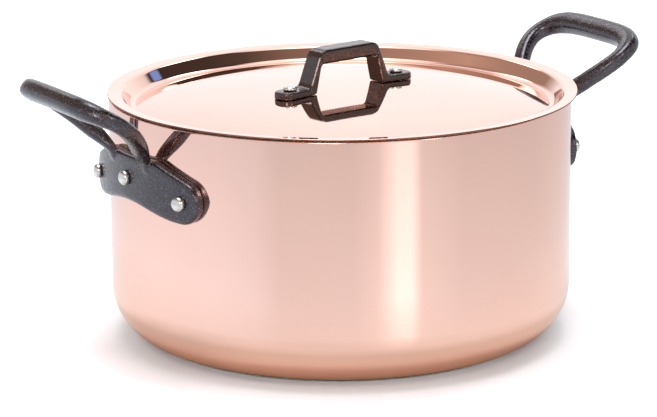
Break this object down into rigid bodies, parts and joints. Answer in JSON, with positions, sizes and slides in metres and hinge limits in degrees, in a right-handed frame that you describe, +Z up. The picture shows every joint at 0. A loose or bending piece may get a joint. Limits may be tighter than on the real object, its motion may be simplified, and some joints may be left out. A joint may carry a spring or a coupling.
{
  "type": "dutch oven",
  "caption": "Straight-sided copper stewpot lined with steel, with cast-iron loop handles riveted to its wall and a low-crowned lid lifted off by a riveted bridge handle.",
  "frame": {"origin": "centre of the pot's flat base", "axes": "+X through the two loop handles, +Z up, the nearer handle in the picture at -X"},
  "size_m": [0.347, 0.248, 0.1542],
  "materials": {
    "copper": "polished copper",
    "lining": "brushed stainless steel",
    "iron": "dark, finely speckled cast iron",
    "rivet": "smooth bright steel"
  },
  "bodies": {
    "pot": {"copper_body": "copper", "steel_lining": "lining", "left_handle": "iron", "right_handle": "iron", "left_rivet_front": "rivet", "left_rivet_middle": "rivet", "left_rivet_back": "rivet", "right_rivet_front": "rivet", "right_rivet_middle": "rivet", "right_rivet_back": "rivet"},
    "lid": {"lid_copper": "copper", "lid_lining": "lining", "lid_handle": "iron", "lid_rivet_left": "rivet", "lid_rivet_right": "rivet"}
  },
  "joints": [
    {"name": "lid_lift", "type": "slide", "parent": "pot", "child": "lid", "axis": [0, 0, 1], "range_m": [0, 0.12]}
  ]
}
